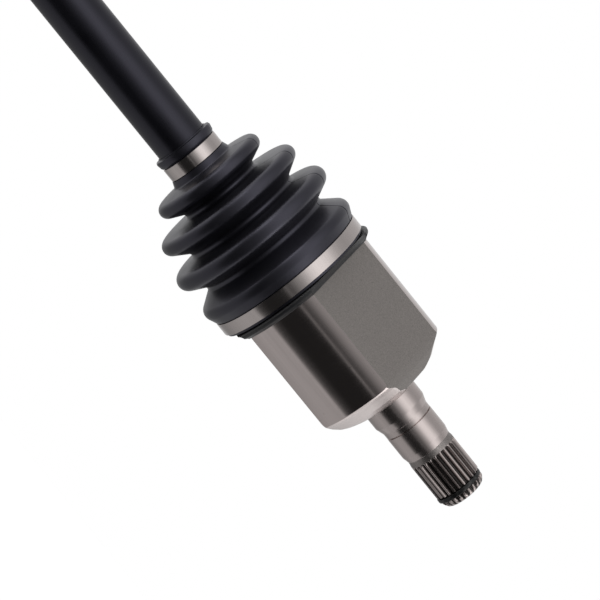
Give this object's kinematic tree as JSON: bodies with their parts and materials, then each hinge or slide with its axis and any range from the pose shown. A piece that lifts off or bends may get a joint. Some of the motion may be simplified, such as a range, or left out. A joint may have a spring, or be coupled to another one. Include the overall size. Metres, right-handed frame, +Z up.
{
  "type": "cv axle",
  "caption": "Front drive half shaft: sliding tripod joint with rubber bellows and splined stub, plain bar, fixed ball joint with threaded hub stub and nut.",
  "frame": {"origin": "centre of the end face of the inboard stub shaft, on the axle's line", "axes": "+X along the axle's line, out of the inboard stub; +Z up as the axle lies on its two boots; +Y across"},
  "size_m": [0.6165, 0.0904, 0.0904],
  "materials": {
    "bar_paint": "satin black paint",
    "boot_rubber": "smooth moulded rubber",
    "adapter_plastic": "smooth moulded",
    "machined_steel": "fine turned, with forged flats",
    "clamp_steel": "polished band",
    "bearing_steel": "ground",
    "ring_steel": "blackened spring steel",
    "nut_zinc": "zinc plated"
  },
  "bodies": {
    "shaft": {"shaft_bar": "bar_paint", "tripod_spider": "bearing_steel", "roller_retainer_1": "ring_steel", "roller_retainer_2": "ring_steel", "roller_retainer_3": "ring_steel", "spider_circlip": "ring_steel", "race_circlip": "ring_steel", "inner_race": "bearing_steel", "inboard_clamp_small": "clamp_steel", "outboard_clamp_small": "clamp_steel", "outboard_boot": "boot_rubber"},
    "roller_1": {"tripod_roller_1": "bearing_steel"},
    "roller_2": {"tripod_roller_2": "bearing_steel"},
    "roller_3": {"tripod_roller_3": "bearing_steel"},
    "needles_1": {"needle_rollers_1": "bearing_steel"},
    "needles_2": {"needle_rollers_2": "bearing_steel"},
    "needles_3": {"needle_rollers_3": "bearing_steel"},
    "inboard_bellows": {"inboard_boot": "boot_rubber"},
    "housing": {"inboard_housing": "machined_steel", "trilobe_adapter": "adapter_plastic", "inboard_clamp_large": "clamp_steel", "roller_stop_ring": "ring_steel", "stub_circlip": "ring_steel"},
    "cage": {"ball_cage": "bearing_steel", "drive_ball_1": "bearing_steel", "drive_ball_2": "bearing_steel", "drive_ball_3": "bearing_steel", "drive_ball_4": "bearing_steel", "drive_ball_5": "bearing_steel", "drive_ball_6": "bearing_steel"},
    "bell": {"outboard_bell": "machined_steel", "outboard_clamp_large": "clamp_steel", "axle_nut": "nut_zinc"}
  },
  "joints": [
    {"name": "inboard_swing", "type": "hinge", "parent": "shaft", "child": "inboard_bellows", "pos_m": [-0.112, 0, 0], "axis": [0, 0, 1], "range_deg": [-20, 20], "deforming": ["inboard_boot"]},
    {"name": "inboard_plunge", "type": "slide", "parent": "inboard_bellows", "child": "housing", "axis": [1, 0, 0], "range_m": [-0.013, 0.013]},
    {"name": "roller_spin_1", "type": "hinge", "parent": "shaft", "child": "roller_1", "pos_m": [-0.112, 0, 0], "axis": [0, -0.9245, -0.3811], "range_deg": [-60, 60]},
    {"name": "roller_spin_2", "type": "hinge", "parent": "shaft", "child": "roller_2", "pos_m": [-0.112, 0, 0], "axis": [0, 0.7923, -0.6101], "range_deg": [-60, 60]},
    {"name": "roller_spin_3", "type": "hinge", "parent": "shaft", "child": "roller_3", "pos_m": [-0.112, 0, 0], "axis": [0, 0.1323, 0.9912], "range_deg": [-60, 60]},
    {"name": "needle_roll_1", "type": "hinge", "parent": "shaft", "child": "needles_1", "pos_m": [-0.112, 0, 0], "axis": [0, -0.9245, -0.3811], "range_deg": [-30, 30]},
    {"name": "needle_roll_2", "type": "hinge", "parent": "shaft", "child": "needles_2", "pos_m": [-0.112, 0, 0], "axis": [0, 0.7923, -0.6101], "range_deg": [-30, 30]},
    {"name": "needle_roll_3", "type": "hinge", "parent": "shaft", "child": "needles_3", "pos_m": [-0.112, 0, 0], "axis": [0, 0.1323, 0.9912], "range_deg": [-30, 30]},
    {"name": "cage_swing", "type": "hinge", "parent": "shaft", "child": "cage", "pos_m": [-0.494, 0, 0], "axis": [0, 1, 0], "range_deg": [-22, 22], "deforming": ["outboard_boot"]},
    {"name": "outboard_swing", "type": "hinge", "parent": "cage", "child": "bell", "pos_m": [-0.494, 0, 0], "axis": [0, 1, 0], "range_deg": [-22, 22]}
  ],
  "couplings": [
    {"joint": "roller_spin_1", "follows": "inboard_plunge", "rad_per_m": 71.429},
    {"joint": "roller_spin_2", "follows": "inboard_plunge", "rad_per_m": 71.429},
    {"joint": "roller_spin_3", "follows": "inboard_plunge", "rad_per_m": 71.429},
    {"joint": "needle_roll_1", "follows": "inboard_plunge", "rad_per_m": 30.56},
    {"joint": "needle_roll_2", "follows": "inboard_plunge", "rad_per_m": 30.56},
    {"joint": "needle_roll_3", "follows": "inboard_plunge", "rad_per_m": 30.56},
    {"joint": "cage_swing", "follows": "outboard_swing", "ratio": 1}
  ]
}
